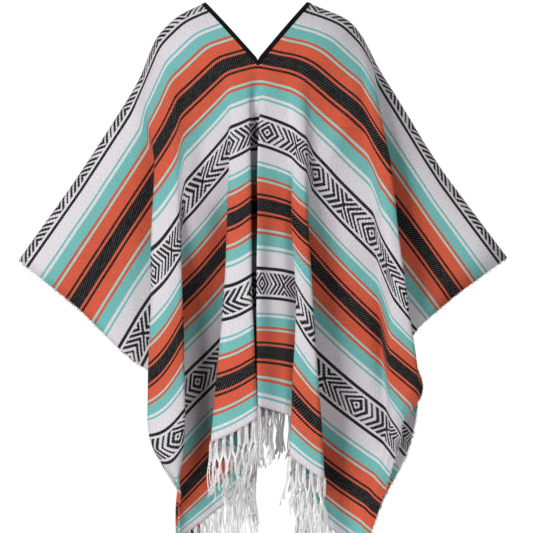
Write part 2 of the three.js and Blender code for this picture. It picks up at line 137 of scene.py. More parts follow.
RIGHT_FOLDS = [
    LEFT_FOLDS[0],
    ("middle tuck, near crease", 52, 1, (0, 6, 10), (0, 0),
     (6, 15, 27, 38, 46, 56), (-83, -93, -96, -98, -100, -104),
     (-129, -275, -428, -594, -736, -854), (2, 29, 25, 19, 13, 8)),
    ("centre panel, near edge", 63, 1, (0, 9, 14), (0, 0),
     (13, -1, -1, -1, -1, -1), (-83, -112, -134, -146, -150, -152),
     (-131, -271, -426, -588, -728, -838), (6, 44, 48, 46, 50, 56)),
    ("tuck behind the right ridge", 88, 1, (0, 4, 10), (4, -4),
     (65, 67, 82, 93, 100, 99), (-80, -104, -112, -112, -121, -130),
     (-139, -296, -447, -602, -745, -876), (65, 126, 140, 226, 182, 178)),
    ("right ridge, near edge", 101, 1, (0, 6, 9), (0, 0),
     (71, 74, 69, 78, 70, 66), (-82, -112, -131, -142, -147, -152),
     (-141, -300, -452, -622, -820, -938), (71, 137, 150, 240, 250, 265)),
    ("right ridge, far edge", 130, -1, (0, 9, 14), (-6, 4),
     (94, 97, 105, 116, 130, 136), (-84, -120, -138, -150, -155, -157),
     (-151, -322, -489, -685, -880, -987), (97, 190, 200, 311, 340, 357)),
    ("tuck at the panel", 143, -1, (0, 7, 10), (0, 0),
     (103, 108, 90, 71, 76, 76), (-82, -98, -94, -80, -82, -84),
     (-156, -352, -520, -724, -920, -1023), (105, 215, 250, 386, 420, 441)),
    ("step at the lobe", 168, 0, (0, 0, 0), (-4, 6),
     (223, 246, 256, 265, 227, 197), (-66, -64, -62, -60, -106, -110),
     (-254, -494, -690, -886, -1033, -1128), (265, 403, 487, 622, 655, 672)),
    ("crown of the lobe", 186, 0, (0, 0, 0), (0, 0),
     (242, 279, 268, 275, 233, 204), (-88, -108, -118, -104, -110, -114),
     (-292, -578, -742, -901, -1040, -1134), (307, 504, 530, 645, 671, 683)),
    ("right lobe, far edge", 204, -1, (12, 2, 0), (0, 0),
     (273, 310, 328, 283, 239, 208), (-86, -106, -118, -102, -110, -114),
     (-342, -624, -790, -911, -1046, -1138), (368, 557, 645, 662, 681, 690)),
    ("tuck under the right arm", 240, -1, (10, 0, 0), (0, 0),
     (237, 273, 335, 287, 244, 212), (-52, -64, -108, -100, -110, -114),
     (-391, -662, -799, -918, -1050, -1142), (437, 630, 672, 680, 690, 694)),
    ("middle of the right sleeve", 480, 0, (0, 0, 0), (0, 0),
     (341, 296, 338, 290, 248, 214), (-36, -64, -106, -100, -110, -114),
     (-523, -687, -806, -922, -1052, -1144), (567, 668, 690, 694, 698, 701)),
    ("right selvedge", 705, 0, (0, 0, 0), (0, 0),
     (407, 318, 341, 292, 250, 216), (-30, -62, -104, -100, -110, -114),
     (-617, -705, -812, -924, -1054, -1147), (705, 705, 705, 705, 705, 705)),
]
# The back hangs as deep as this share of the front, and spreads and rises by side and station.
BACK_DEPTH = 0.96
BACK_SPREAD = {"left": (0.97, 0.96, 0.95, 0.94, 0.94, 0.94), "right": (0.98, 0.99, 1.0, 1.11, 1.06, 1.03)}
BACK_RISE = {"left": (0, 4, 8, 12, 16, 20), "right": (0, 4, 4, -8, 0, 8)}
# Notches of the outline, by fold: the cloth length of its middle, its reach, and how far x moves.
LEFT_NOTCH, RIGHT_NOTCH = (706, 52), (552, 46)
NOTCHES = {
    "lobe, far edge": (*LEFT_NOTCH, 24), "tuck under the arm": (*LEFT_NOTCH, 20),
    "middle of the sleeve": (*LEFT_NOTCH, 18), "selvedge": (*LEFT_NOTCH, 16),
    "right lobe, far edge": (*RIGHT_NOTCH, -15), "tuck under the right arm": (*RIGHT_NOTCH, -18),
    "middle of the right sleeve": (*RIGHT_NOTCH, -19), "right selvedge": (*RIGHT_NOTCH, -20),
}
print(len(LEFT_FOLDS), "folds on the left,", len(RIGHT_FOLDS), "on the right")


# %% [markdown]
# ## From the table to a point of the cloth
# Between the stations a fold line is a smooth curve (Hermite). Above the first one it climbs to the
# shoulder: it falls steeply, then bends back over the top. The back is the same cloth seen from the
# other side, so its table is the front's with y turned round, and small changes that keep it from
# being a mirror.

# %% Fold lines
def lengths_along(line):
    """The length of a polyline up to each of its points."""
    return np.concatenate([[0], np.cumsum(np.linalg.norm(line[1:] - line[:-1], axis=1))])


def between(rows, known, wanted):
    """Rows of values at the wanted lengths, from those at the known ones."""
    return np.array([np.interp(wanted, known, column) for column in rows.T]).T


def at_lengths(line, lengths):
    """Points of a polyline at given lengths from its start."""
    return between(line, lengths_along(line), lengths)


def back_of(folds):
    """The same folds for the back."""
    rows = []
    for name, start, turn, roll, belly, xs, ys, zs, across in folds:
        sides = ["left" if x < 0 else "right" for x in xs]
        xs = [x * BACK_SPREAD[side][i] for i, (x, side) in enumerate(zip(xs, sides))]
        ys = [-y * BACK_DEPTH for y in ys]
        zs = [z + BACK_RISE[side][i] for i, (z, side) in enumerate(zip(zs, sides))]
        rows.append((name + ", back", start, turn, roll, belly, xs, ys, zs, across))
    return rows


def smooth_at(values, v):
    """A value between the stations, on a smooth curve."""
    last = len(STATIONS) - 1
    i = int(np.clip(np.searchsorted(STATIONS, v) - 1, 0, last - 1))

    def slope(k):
        a, b = max(0, k - 1), min(last, k + 1)
        return (values[b] - values[a]) / (STATIONS[b] - STATIONS[a])

    step = STATIONS[i + 1] - STATIONS[i]
    t = (v - STATIONS[i]) / step
    ends = values[i] * (1 + 2 * t) * (1 - t) ** 2 + values[i + 1] * t * t * (3 - 2 * t)
    return ends + step * (slope(i) * t * (1 - t) ** 2 - slope(i + 1) * t * t * (1 - t))


def fold_point(fold, shoulder, v):
    """Where a fold line is at cloth length v, and the cloth width used up to it."""
    name, start, *_, xs, ys, zs, across = fold
    if v >= NECK_DEPTH:
        x, y, z = [smooth_at(values, v) for values in (xs, ys, zs)]
        length, reach, inward = NOTCHES.get(name, (0, 1, 0))
        x += inward * math.exp(-(((v - length) / reach) ** 2))
        return [x, y, z], float(np.interp(v, STATIONS, across))
    share = (start - NECK_HALF_WIDTH) / (HALF_WIDTH - NECK_HALF_WIDTH)
    shoulder_x, shoulder_z = at_lengths(shoulder, share * lengths_along(shoulder)[-1])
    x, y, z = xs[0], ys[0], zs[0]
    t = v / NECK_DEPTH
    bend = np.interp(start, *SHOULDER_ROLL)
    fall = (math.hypot(1, t / bend) - 1) / (math.hypot(1, 1 / bend) - 1)
    forward = math.tanh(v / abs(y)) / math.tanh(NECK_DEPTH / abs(y))
    point = [shoulder_x + (x - shoulder_x) * fall, y * forward, shoulder_z + (z - shoulder_z) * fall]
    return point, start + (across[0] - start) * t


# %% [markdown]
# ## A row of the cloth
# One weft thread, from the selvedge to the middle or right across, is a zigzag through the fold
# points, with two points at each crease. Sliding a short average along it rounds every crease by the
# same length of cloth, which is what a thick cotton does. The columns of the mesh crowd together near
# the creases and spread out on the flats.

# %% Rows
# Cloth lengths, and how far the average reaches on either side there.
ROUNDING = ((0, NECK_DEPTH, 330, 473, PANEL_LENGTH), (24, 18, 13, 10, 9))
ROUNDING_SAMPLES = 13
EDGE_WEIGHT = 0.35
CELL_WIDTH = 8.6
LEAST_CELLS = 3
CREASE_CELLS = 2
SPAN_PARTS = 6
EVEN_SHARE = 0.35
COLUMN_AVERAGES = 4
NEIGHBOUR_PULL = 0.25


def averaged(values, times, pull=NEIGHBOUR_PULL):
    """Values pulled towards their neighbours along the first axis; both ends stay."""
    for _ in range(times):
        values[1:-1] += pull * (values[2:] + values[:-2] - 2 * values[1:-1])
    return values


def roll_at(roll, v):
    """The depth between the layers of a crease at cloth length v, from that at neck, waist and hem."""
    return np.interp(v, (0, NECK_DEPTH, STATIONS[2], PANEL_LENGTH), (0, *roll))


def zigzag(folds, shoulder, v, facing):
    """Points of one row with their cloth widths: the spans in parts, and two points at a crease."""
    points, widths = [], []
    for fold in folds:
        _, _, turn, roll, belly, *_ = fold
        (x, y, z), width = fold_point(fold, shoulder, v)
        half = roll_at(roll, v) / 2
        sides = (-1, 1) if turn else (0,)
        ends = [np.array([x, y + side * half * turn * facing, z]) for side in sides]
        forward, sag = (roll_at((0, size, size), v) for size in belly)
        if points:
            before, width_before = points[-1], widths[-1]
            for part in range(1, SPAN_PARTS):
                t = part / SPAN_PARTS
                bow = math.sin(math.pi * t)
                hang = np.array([0, -facing * forward * bow, -sag * bow])
                points.append(before + (ends[0] - before) * t + hang)
                widths.append(width_before + (width - half * len(sides[1:]) - width_before) * t)
        points.extend(ends)
        widths.extend(width + side * half for side in sides)
    return np.array(points), np.maximum.accumulate(widths)


def columns_of(folds, shoulder):
    """Mesh columns of one half, as places in the zigzag's list of points."""
    rows = [zigzag(folds, shoulder, v, -1)[0] for v in STATIONS]
    steps = np.mean([np.linalg.norm(row[1:] - row[:-1], axis=1) for row in rows], axis=0)
    places, i = [0.0], 0
    for _, _, turn, *_ in folds[1:]:
        cells = max(LEAST_CELLS, round(steps[i:i + SPAN_PARTS].sum() / CELL_WIDTH))
        t = np.arange(1, cells + 1) / cells
        crowded = 0.5 - 0.5 * np.cos(math.pi * t)
        places.extend(i + SPAN_PARTS * (EVEN_SHARE * t + (1 - EVEN_SHARE) * crowded))
        i += SPAN_PARTS
        if turn:
            places.extend(i + np.arange(1, CREASE_CELLS + 1) / CREASE_CELLS)
            i += 1
    return np.array(places)


def round_off(points, widths, places, v):
    """The row at its mesh columns with the creases rounded, and the cloth width at each."""
    lengths = lengths_along(points)
    here = averaged(np.interp(places, np.arange(len(lengths)), lengths), COLUMN_AVERAGES)
    reach = np.minimum(np.interp(v, *ROUNDING), np.minimum(here, lengths[-1] - here))
    offsets = np.linspace(-1, 1, ROUNDING_SAMPLES)
    weights = EDGE_WEIGHT + np.cos(offsets * math.pi / 2)
    samples = here[:, None] + reach[:, None] * offsets
    rounded = [np.interp(samples, lengths, column) @ weights / weights.sum() for column in points.T]
    return np.array(rounded).T, np.interp(here, lengths, widths)


# %% [markdown]
# ## The whole cloth as a grid
# Rows run from the front hem up over the shoulders and down to the back hem. Each row has a left and
# a right half, because the slit parts them near the neck. Below the slit both halves are rounded as
# one row, so that the middle fold is as soft as the others.

# %% Grid of the cloth
TOP_ROWS = [0, 3, 6.5, 10.5, 15, 20.5, 27, 34.5]
UPPER_START, UPPER_ROWS = 42, 17
ROW_STEP = 7.6


def across_middle(one, other):
    """One list backwards, then the other: both start with the same middle."""
    return np.concatenate([one[::-1], other[1:]])


def row_lengths():
    """Cloth lengths of the rows, close together over the shoulder, where the cloth bends most."""
    upper = np.linspace(UPPER_START, NECK_DEPTH, UPPER_ROWS)
    lower = np.linspace(NECK_DEPTH, PANEL_LENGTH, round((PANEL_LENGTH - NECK_DEPTH) / ROW_STEP) + 1)
    return np.concatenate([TOP_ROWS, upper, lower[1:]])


def half_rows(left, right, facing, lengths, left_places, right_places):
    """Points and widths of the left and right halves of one panel."""
    halves = {"left": [], "right": []}
    for v in lengths:
        a, a_widths = zigzag(left, SHOULDER_LEFT, v, facing)
        b, b_widths = zigzag(right, SHOULDER_RIGHT, v, facing)
        if v < NECK_DEPTH:
            halves["left"].append(round_off(a, -a_widths, left_places, v))
            halves["right"].append(round_off(b, b_widths, right_places, v))
            continue
        middle, count = len(a) - 1, len(left_places)
        places = across_middle(middle - left_places, middle + right_places)
        points, across = round_off(across_middle(a, b), across_middle(-a_widths, b_widths), places, v)
        halves["left"].append((points[:count][::-1], across[:count][::-1]))
        halves["right"].append((points[count - 1:], across[count - 1:]))
    return {side: [np.array(part) for part in zip(*rows)] for side, rows in halves.items()}


lengths = row_lengths()
left_places = columns_of(LEFT_FOLDS, SHOULDER_LEFT)
right_places = columns_of(RIGHT_FOLDS, SHOULDER_RIGHT)
front = half_rows(LEFT_FOLDS, RIGHT_FOLDS, -1, lengths, left_places, right_places)
back = half_rows(back_of(LEFT_FOLDS), back_of(RIGHT_FOLDS), 1, lengths, left_places, right_places)
signed = across_middle(-lengths, lengths)
grid, width_at = (
    {side: across_middle(front[side][part], back[side][part]) for side in front} for part in (0, 1)
)
print("rows:", len(signed), "columns:", len(left_places), "+", len(right_places))

# %% [markdown]
# ## Softening and small folds
# The fold lines bend a little abruptly at the neck's depth, so the rows are averaged along the warp a
# few times. Then come the small things that make cloth look worn: long shallow swells in the sleeves
# and panels, and a faint unevenness from the loom.
# Each swell is listed: cloth width and length at its top, the same at its foot, its breadth
# and its height. Lengths in front are negative, those behind are positive.

# %% Swells
SWELLS = [
    # top width, top length, foot width, foot length, breadth, height
    (-190, -60, -215, -330, 26, 6.0), (-330, -40, -420, -330, 38, 5.0), (-450, -30, -560, -300, 34, 4.0),
    (-560, -20, -650, -220, 30, 3.5), (-150, -210, -185, -420, 22, -4.0), (-240, -330, -330, -600, 30, 4.0),
    (-360, -480, -470, -760, 34, -4.5), (-330, -650, -420, -880, 28, 4.0), (-590, -640, -630, -880, 22, -4.0),
    (210, -60, 235, -300, 26, 6.0), (330, -40, 430, -310, 36, 4.5), (470, -30, 570, -280, 34, 4.0),
    (590, -20, 660, -200, 28, 3.0), (150, -200, 250, -420, 26, 3.5), (290, -300, 360, -560, 34, -4.5),
    (260, -440, 400, -700, 36, 4.5), (470, -560, 560, -880, 36, -5.0), (90, -420, 110, -860, 20, -6.0),
    (30, -470, 38, -860, 12, 3.5), (-120, -520, -190, -880, 22, -3.0), (280, -640, 310, -890, 18, -3.0),
    (-170, 60, -220, 380, 30, 6.0), (-340, 40, -430, 360, 40, -5.0), (-500, 30, -600, 280, 36, 5.0),
    (-240, 330, -330, 700, 36, -5.0), (-420, 500, -520, 880, 38, 5.0), (-120, 420, -170, 880, 24, 4.0),
    (180, 50, 240, 330, 30, 6.0), (350, 40, 450, 340, 40, 5.0), (520, 30, 610, 260, 34, -4.5),
    (280, 300, 380, 640, 36, 5.0), (430, 520, 540, 880, 38, -5.0), (110, 430, 130, 880, 24, -4.0),
]
# A swell fades over this share of its length at its top, and past its foot, where it ends.
SWELL_FADE, SWELL_END = 0.35, 1.25
UNEVEN_HEIGHT = 1.1
UNEVEN_SCALE = 95
WARP_AVERAGES = 6
# Beside the slit the columns keep their place, and near the middle line the swells die away.
SLIT_COLUMNS = 8
CALM_WIDTH = 40


def outward_normals(side):
    """Unit normals of one half; the left's columns run the other way, so its normals are turned."""
    normals = np.cross(np.gradient(grid[side], axis=1), np.gradient(grid[side], axis=0))
    lengths = np.maximum(1e-9, np.linalg.norm(normals, axis=2, keepdims=True))
    return normals / lengths * (-1 if side == "left" else 1)


def swell_height(width, length):
    """How far the small folds lift the cloth at each point."""
    height = np.zeros_like(width)
    for top_w, top_l, foot_w, foot_l, breadth, tall in SWELLS:
        t = (length - top_l) / (foot_l - top_l)
        middle = top_w + (foot_w - top_w) * t
        rise = np.clip(np.minimum(t, SWELL_END - t) / SWELL_FADE, 0, 1)
        height += tall * (np.exp(-(((width - middle) / breadth) ** 2)) * rise * rise * (3 - 2 * rise))
    return height


for side, widths in width_at.items():
    near_slit = np.minimum(1, np.arange(widths.shape[1]) / SLIT_COLUMNS)
    averaged(grid[side], WARP_AVERAGES, NEIGHBOUR_PULL * near_slit[None, :, None])
    rise = swell_height(widths, signed[:, None])
    for r, c in np.ndindex(rise.shape):
        place = Vector((widths[r, c], signed[r], 0)) / UNEVEN_SCALE
        rise[r, c] += UNEVEN_HEIGHT * noise.noise(place)
    calm = np.minimum(1, np.abs(widths) / CALM_WIDTH)
    grid[side] = grid[side] + outward_normals(side) * (rise * calm)[:, :, None]
print("largest swell:", max(abs(s[5]) for s in SWELLS), "mm")

# %% [markdown]
# ## The blanket mesh
# The two halves become one sheet of quads. They share the middle column below the slit and have one
# each beside it. The UV map is the cloth itself, in metres across and along, so that the woven pattern
# bends with the folds. Solidify gives the sheet its thickness.

# %% Mesh helpers
def mesh_object(name, points, faces, edges=()):
    """A new object at the origin, from points in millimetres."""
    mesh = bpy.data.meshes.new(name)
    mesh.from_pydata([tuple(p * MM) for p in np.asarray(points, float)], list(edges), faces)
    mesh.update()
    obj = bpy.data.objects.new(name, mesh)
    bpy.context.scene.collection.objects.link(obj)
    return obj


def quads_of(ids):
    """Quads between the points of a grid."""
    corners = ids[:-1, :-1], ids[:-1, 1:], ids[1:, 1:], ids[1:, :-1]
    return np.stack(corners, axis=-1).reshape(-1, 4).tolist()


def add_cloth_map(obj, cloth):
    """A UV map that holds the place on the flat cloth, in metres."""
    layer = obj.data.uv_layers.new(name="cloth")
    loops = np.zeros(len(obj.data.loops), np.int32)
    obj.data.loops.foreach_get("vertex_index", loops)
    layer.data.foreach_set("uv", (np.array(cloth, float) * MM)[loops].ravel())


def applied(obj):
    """The object with its modifiers turned into plain mesh."""
    evaluated = obj.evaluated_get(bpy.context.evaluated_depsgraph_get())
    mesh = bpy.data.meshes.new_from_object(evaluated)
    obj.modifiers.clear()
    old, obj.data = obj.data, mesh
    mesh.name = obj.name
    bpy.data.meshes.remove(old)
    obj.data.shade_smooth()
    return obj


def thickened(obj, thickness):
    """The sheet with a thickness, half of it on each side."""
    shell = obj.modifiers.new("thickness", "SOLIDIFY")
    shell.thickness = thickness * MM
    shell.offset = 0
    return applied(obj)


def count_triangles(obj):
    """Prints how heavy an object is."""
    obj.data.calc_loop_triangles()
    print(obj.name + ":", len(obj.data.loop_triangles), "triangles")


# %% Blanket
def blanket_sheet():
    """Points, places on the flat cloth, and quads of the whole blanket."""
    shared = np.abs(signed) >= NECK_DEPTH
    points, cloth, ids = [], [], {}
    for side, widths in width_at.items():
        ids[side] = np.zeros(widths.shape, int)
        for r, c in np.ndindex(widths.shape):
            if side == "right" and c == 0 and shared[r]:
                ids[side][r, c] = ids["left"][r, 0]
                continue
            ids[side][r, c] = len(points)
            points.append(grid[side][r, c])
            cloth.append((widths[r, c], signed[r]))
    return points, cloth, quads_of(ids["left"][:, ::-1]) + quads_of(ids["right"])


points, cloth, quads = blanket_sheet()
blanket = mesh_object("blanket", points, quads)
add_cloth_map(blanket, cloth)
blanket = thickened(blanket, CLOTH_THICKNESS)
count_triangles(blanket)

# %% [markdown]
# ## Small tools for node trees
# A material is a graph of nodes. Short helpers keep the recipes readable: one adds a node and sets
# its values, one does a step of arithmetic and hands back the result, and one makes a group with
# named sockets, which is how several materials share one effect.

# %% Node helpers
def set_inputs(node, values):
    """Sets inputs of a node: a value, a socket, or a node, which stands for its first output."""
    for key, value in values.items():
        if isinstance(value, bpy.types.Node):
            value = value.outputs[0]
        if isinstance(value, bpy.types.NodeSocket):
            node.id_data.links.new(value, node.inputs[key])
        else:
            node.inputs[key].default_value = value
    return node


def add_node(tree, kind, inputs=None, **settings):
    """A new node with its settings and inputs."""
    node = tree.nodes.new(kind)
    for name, value in settings.items():
        setattr(node, name, value)
    return set_inputs(node, inputs or {})


def tree_of(*values):
    """The tree of the first socket or node among some values."""
    return next(v.id_data for v in values if isinstance(v, (bpy.types.NodeSocket, bpy.types.Node)))


def calc(operation, *values):
    """One step of arithmetic."""
    return add_node(tree_of(*values), "ShaderNodeMath", dict(enumerate(values)), operation=operation)


def blend_colour(mask, under, over):
    """The colour under where the mask is 0, and over where it is 1."""
    # The Mix node has a pair of inputs for each kind of value; 6 and 7 are its colours.
    mix = add_node(tree_of(mask, under), "ShaderNodeMix", {0: mask, 6: under, 7: over}, data_type="RGBA")
    return mix.outputs[2]


def scaled(vector, factor):
    """A vector or a colour times a factor."""
    return add_node(
        tree_of(vector, factor), "ShaderNodeVectorMath", {0: vector, "Scale": factor}, operation="SCALE",
    )


def new_material(name):
    """A material with only its output and a Principled shader."""
    material = bpy.data.materials.new(name)
    material.use_nodes = True
    tree = material.node_tree
    return material, tree, next(n for n in tree.nodes if n.type == "BSDF_PRINCIPLED")


def new_group(name, kind, inputs, outputs, fill):
    """A group with named sockets, name -> kind of value, and the nodes that a function puts in it."""
    group = bpy.data.node_groups.new(name, kind)
    for in_out, sockets in (("INPUT", inputs), ("OUTPUT", outputs)):
        for label, value_kind in sockets.items():
            group.interface.new_socket(label, in_out=in_out, socket_type="NodeSocket" + value_kind)
    fill(group, group.nodes.new("NodeGroupInput").outputs, group.nodes.new("NodeGroupOutput"))
    return group


# %% [markdown]
# ## The weave
# Seen close, the blanket is a coarse twill: thick weft rows lie over thin warps, and each row starts
# a quarter of a repeat further on, which draws fine diagonals. An image could show it, but it would
# blur close up; a few lines of arithmetic on the cloth's own measures stay sharp at any distance.
# The group gives out the height of the threads, the places where a warp crosses over, some strongly
# and some hardly at all, and a slow variation of the yarn. The blanket, the tape and the yarn all use
# it, each with its own spacing.

# %% Weave group
TWILL_SHIFT = 0.25
CROSSING_STEEPNESS, CROSSING_START, CROSSING_BLUR = 8.0, -2.6, 0.2
CROSSING_CHANCE = 2.0
CROSSING_DEPTH = 0.75
WARP_RELIEF = 0.25
STREAK_SCALE = 0.22
STREAKS = {"Scale": 1.0, "Detail": 3.0, "Roughness": 0.65}


def fill_weave(tree, source, result):
    """The arithmetic of a twill, from millimetres across and along the cloth."""
    across, along = source["Across"], source["Along"]
    weft = calc("DIVIDE", along, source["Weft Spacing"])
    row = calc("FLOOR", weft)
    warp = calc("DIVIDE", across, source["Warp Spacing"])
    shifted = calc("MULTIPLY_ADD", warp, TWILL_SHIFT, calc("MULTIPLY", row, TWILL_SHIFT))
    crossing = calc("ABSOLUTE", calc("SUBTRACT", calc("FRACT", shifted), 0.5))
    ramp = calc("MULTIPLY_ADD", crossing, CROSSING_STEEPNESS, CROSSING_START)
    over = calc("SMOOTH_MAX", ramp, 0.0, CROSSING_BLUR)
    crossing_id = add_node(tree, "ShaderNodeCombineXYZ", {0: calc("FLOOR", shifted), 1: row})
    chance = add_node(tree, "ShaderNodeTexWhiteNoise", {"Vector": crossing_id}, noise_dimensions="2D")
    shown = calc("MULTIPLY", chance.outputs["Value"], CROSSING_CHANCE)
    mask = calc("MULTIPLY", calc("MINIMUM", over, 1.0), shown)
    weft_round = calc("SINE", calc("MULTIPLY", calc("FRACT", weft), math.pi))
    warp_round = calc("ABSOLUTE", calc("SINE", calc("MULTIPLY", warp, math.pi)))
    lower = calc("MULTIPLY_ADD", mask, -CROSSING_DEPTH, weft_round)
    streak = add_node(tree, "ShaderNodeCombineXYZ", {0: calc("MULTIPLY", across, STREAK_SCALE), 1: row})
    uneven = add_node(tree, "ShaderNodeTexNoise", {"Vector": streak, **STREAKS})
    centred = calc("SUBTRACT", uneven, 0.5)
    set_inputs(result, {
        "Height": calc("MULTIPLY_ADD", warp_round, WARP_RELIEF, lower),
        "Warp Mask": mask,
        "Yarn Tone": calc("MULTIPLY", centred, source["Yarn Unevenness"]),
    })


measures = dict.fromkeys(("Across", "Along", "Warp Spacing", "Weft Spacing", "Yarn Unevenness"), "Float")
results = dict.fromkeys(("Height", "Warp Mask", "Yarn Tone"), "Float")
weave = new_group("woven_threads", "ShaderNodeTree", measures, results, fill_weave)
print("weave group:", len(weave.nodes), "nodes")

# %% [markdown]
# ## The stripes
# A falsa blanket repeats one set of stripes: a figured band on white, then turquoise, orange and black,
# and the same again in reverse. So a colour only depends on how far a weft lies from the middle of the
# nearest figured band. Ping-pong folds the cloth's length onto that distance, and a colour ramp with
# hard stops lists the stripes as a weaver would thread them.

# %% Stripes
WHITE = (0.76, 0.73, 0.765, 1)
BLACK = (0.012, 0.012, 0.013, 1)
TURQUOISE = (0.2, 0.54, 0.52, 1)
PALE_TURQUOISE = (0.4, 0.65, 0.62, 1)
ORANGE = (0.7, 0.125, 0.056, 1)
HALF_REPEAT = 157.5
STRIPES = [
    (0, WHITE), (28, BLACK), (35, WHITE), (66, TURQUOISE), (70.5, WHITE), (76.5, TURQUOISE), (98.5, ORANGE),
    (104, PALE_TURQUOISE), (109, ORANGE), (134, BLACK), (138.5, ORANGE), (143.5, BLACK),
]


def stripe_ramp(distance):
    """The colour of a weft, from its distance to the nearest figured band."""
    ramp = add_node(tree_of(distance), "ShaderNodeValToRGB", {0: calc("DIVIDE", distance, HALF_REPEAT)})
    ramp.color_ramp.interpolation = "CONSTANT"
    elements = ramp.color_ramp.elements
    elements[0].position, elements[0].color = 0, STRIPES[0][1]
    elements.remove(elements[1])
    for place, colour in STRIPES[1:]:
        elements.new(place / HALF_REPEAT).color = colour
    return ramp


# %% [markdown]
# ## The figured band
# Between its two black lines runs the old diamond-and-cross figure: squares on their points, ringed by
# chevrons that meet the next diamond's in a cross. Add the distance along the band from the nearest
# diamond to the distance from the band's middle, and equal sums are exactly those rings and chevrons.
# Both distances move in steps of a thread, which gives the edges their little stairs.

# %% Figure
DIAMOND_REPEAT = 80
FIRST_DIAMOND = 69
FIGURE_HALF_HEIGHT = 23
RING_STEP = 13.6
FIRST_RING = 10.5
RING_SHARE = 0.57
EYE = 2.6
THREAD_STEP = 2.6


def figure_mask(across, distance):
    """1 where the figured band is black."""
    from_diamond = calc("PINGPONG", calc("SUBTRACT", across, FIRST_DIAMOND), DIAMOND_REPEAT)
    stepped = calc("SNAP", from_diamond, THREAD_STEP)
    middle = calc("SNAP", distance, THREAD_STEP)
    together = calc("ADD", stepped, middle)
    rings = calc("DIVIDE", calc("SUBTRACT", together, FIRST_RING), RING_STEP)
    wave = calc("FRACT", calc("ADD", rings, RING_SHARE / 2))
    ring, eye = calc("LESS_THAN", wave, RING_SHARE), calc("LESS_THAN", together, EYE)
    inside = calc("LESS_THAN", distance, FIGURE_HALF_HEIGHT)
    return calc("MULTIPLY", calc("MAXIMUM", ring, eye), inside)


# %% [markdown]
# ## The blanket's finish
# The material reads the cloth map, wobbles the stripe edges by about half a millimetre, lays the figure
# over the stripes, then lets the warps glint through as pale specks. Matt cotton has a high roughness
# and a soft sheen from its loose fibres.

# %% Material helpers
# The wobble of a stripe's edge: its slope along each thread, and its start.
JAG = (0.45, -0.5)
RELIEF_STRENGTH = 0.8


def cloth_measures(tree):
    """Millimetres across and along the cloth, from its own map."""
    place = add_node(tree, "ShaderNodeUVMap", uv_map="cloth")
    parts = add_node(tree, "ShaderNodeSeparateXYZ", {0: place})
    across = calc("MULTIPLY", parts.outputs["X"], 1 / MM)
    return across, calc("ABSOLUTE", calc("MULTIPLY", parts.outputs["Y"], 1 / MM))


def pattern_colour(across, along):
    """Stripes and figure together, with edges that follow the threads."""
    jag = calc("MULTIPLY_ADD", calc("PINGPONG", across, THREAD_STEP), *JAG)
    distance = calc("PINGPONG", calc("ADD", along, jag), HALF_REPEAT)
    return blend_colour(figure_mask(across, distance), stripe_ramp(distance), BLACK)


def lay_threads(across, along, warp_spacing, weft_spacing, unevenness):
    """The weave group on these measures."""
    return add_node(tree_of(across), "ShaderNodeGroup", {
        "Across": across, "Along": along, "Warp Spacing": warp_spacing, "Weft Spacing": weft_spacing,
        "Yarn Unevenness": unevenness,
    }, node_tree=weave)


def finish_threads(shader, threads, colour, roughness, relief, values):
    """A colour with the yarns' tone, roughness (change on a warp, base), relief and plain values."""
    heights = {"Height": threads.outputs["Height"], "Distance": relief, "Strength": RELIEF_STRENGTH}
    set_inputs(shader, {
        "Base Color": scaled(colour, calc("ADD", threads.outputs["Yarn Tone"], 1.0)),
        "Roughness": calc("MULTIPLY_ADD", threads.outputs["Warp Mask"], *roughness),
        "Normal": add_node(shader.id_data, "ShaderNodeBump", heights),
        **values,
    })


# %% Blanket material
DARK_BELOW = 0.05
SPECK_STRENGTH, SPECK_CHANGE_ON_DARK = 0.17, -0.02

blanket_cloth, tree, shader = new_material("striped_blanket_cloth")
across, along = cloth_measures(tree)
threads = lay_threads(across, along, warp_spacing=1.3, weft_spacing=1.9, unevenness=0.95)
base = pattern_colour(across, along)
grey = add_node(tree, "ShaderNodeRGBToBW", {0: base})
dark = calc("LESS_THAN", grey, DARK_BELOW)
strength = calc("MULTIPLY_ADD", dark, SPECK_CHANGE_ON_DARK, SPECK_STRENGTH)
speck = calc("MULTIPLY", threads.outputs["Warp Mask"], strength)
warped = blend_colour(speck, base, WHITE)
finish_threads(shader, threads, warped, roughness=(-0.12, 0.9), relief=0.0005, values={
    "Sheen Weight": 0.06, "Sheen Roughness": 0.5, "Specular IOR Level": 0.15,
})
blanket.data.materials.append(blanket_cloth)
print("blanket material:", len(tree.nodes), "nodes")

# %% [markdown]
# ## The neck tape
# A narrow black tape is folded over the raw edge of the slit and stitched through. A tube along the
# edge would look like piping; a binding is flat, so it is made from the cloth's own rows: a strip on
# the outside, round the edge, and back on the inside, mitred where the two arms meet.

# %% Tape
TAPE_CLEARANCE = 0.45
TAPE_THICKNESS = 0.9
# Places of the strip's points: cloth lengths from the edge, and angles round it.
TAPE_SAMPLES = (8.0, 6.8, 5.4, 3.8, 2.0, 0.0)
EDGE_ANGLES = (60, 90, 120)
# At the tips the strip is this much wider, and its face leans back by this slope.
MITRE, TIP_SLOPE = 1.2, 0.25
# Where on a row the way inwards and the cloth's normal are read.
INWARD_LENGTH, NORMAL_COLUMN = 6.0, 2
ROW_TOLERANCE = 0.01


def unit(vectors):
    """Vectors brought to length 1."""
    return vectors / np.linalg.norm(vectors, axis=-1, keepdims=True)


def wrap(points, normal, inward):
    """The section of the binding at one row: outside, round the edge, inside."""
    reach = CLOTH_THICKNESS / 2 + TAPE_CLEARANCE
    turn = [
        points[-1] + normal * reach * math.cos(a) - inward * reach * math.sin(a)
        for a in map(math.radians, EDGE_ANGLES)
    ]
    return np.array([*(points + normal * reach), *turn, *(points - normal * reach)[::-1]])


